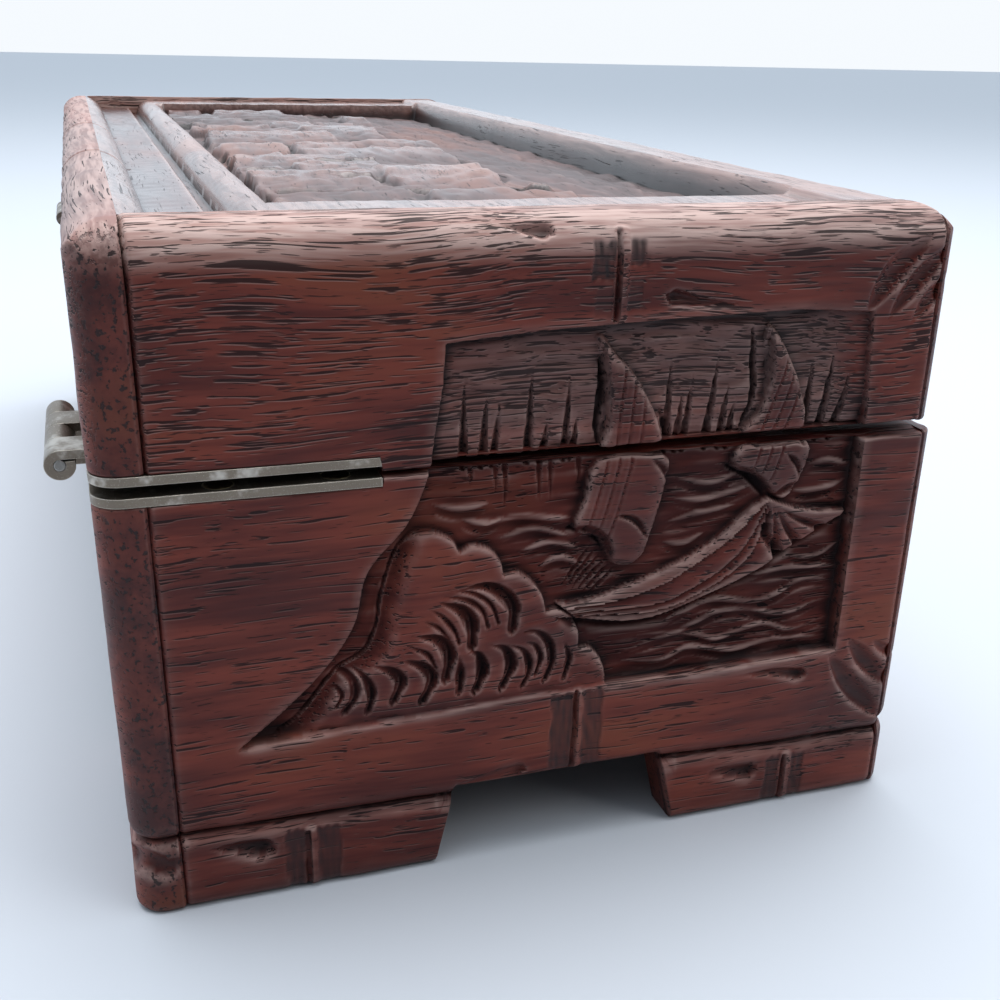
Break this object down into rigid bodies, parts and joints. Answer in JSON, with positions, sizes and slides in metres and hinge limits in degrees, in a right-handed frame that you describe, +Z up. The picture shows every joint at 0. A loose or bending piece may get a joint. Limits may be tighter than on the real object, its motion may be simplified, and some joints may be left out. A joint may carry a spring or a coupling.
{
  "type": "keepsake box",
  "caption": "Carved hardwood keepsake box on feet, with bamboo-shaped rails and a lid on two brass corner hinges.",
  "frame": {"origin": "on the surface that the box stands on, under the centre of the whole box with its hinge barrels", "axes": "+X along the box towards the right end, front at -Y, +Z up"},
  "size_m": [0.3, 0.1357, 0.1018],
  "materials": {
    "side_wood": "carved and oiled red-brown hardwood, open pores, worn edges",
    "end_wood": "carved and oiled red-brown hardwood, open pores, worn edges",
    "top_wood": "carved and oiled red-brown hardwood, open pores, worn edges",
    "panel_wood": "planed hardwood, dull oil",
    "hinge_brass": "aged, dull grey-brown",
    "screw_brass": "aged",
    "pin_steel": "dull"
  },
  "bodies": {
    "case": {"body_front_board": "side_wood", "body_back_board": "side_wood", "body_left_end": "end_wood", "body_right_end": "end_wood", "body_bottom_panel": "panel_wood", "left_hinge_body_leaf": "hinge_brass", "left_hinge_pin": "pin_steel", "left_hinge_body_screws": "screw_brass", "right_hinge_body_leaf": "hinge_brass", "right_hinge_pin": "pin_steel", "right_hinge_body_screws": "screw_brass"},
    "lid": {"lid_front_board": "side_wood", "lid_back_board": "side_wood", "lid_left_end": "end_wood", "lid_right_end": "end_wood", "lid_top_panel": "top_wood", "left_hinge_lid_leaf": "hinge_brass", "left_hinge_lid_screws": "screw_brass", "right_hinge_lid_leaf": "hinge_brass", "right_hinge_lid_screws": "screw_brass"}
  },
  "joints": [
    {"name": "lid_hinge", "type": "hinge", "parent": "case", "child": "lid", "pos_m": [0, 0.06573, 0.06752], "axis": [-1, 0, 0], "range_deg": [0, 190]}
  ]
}
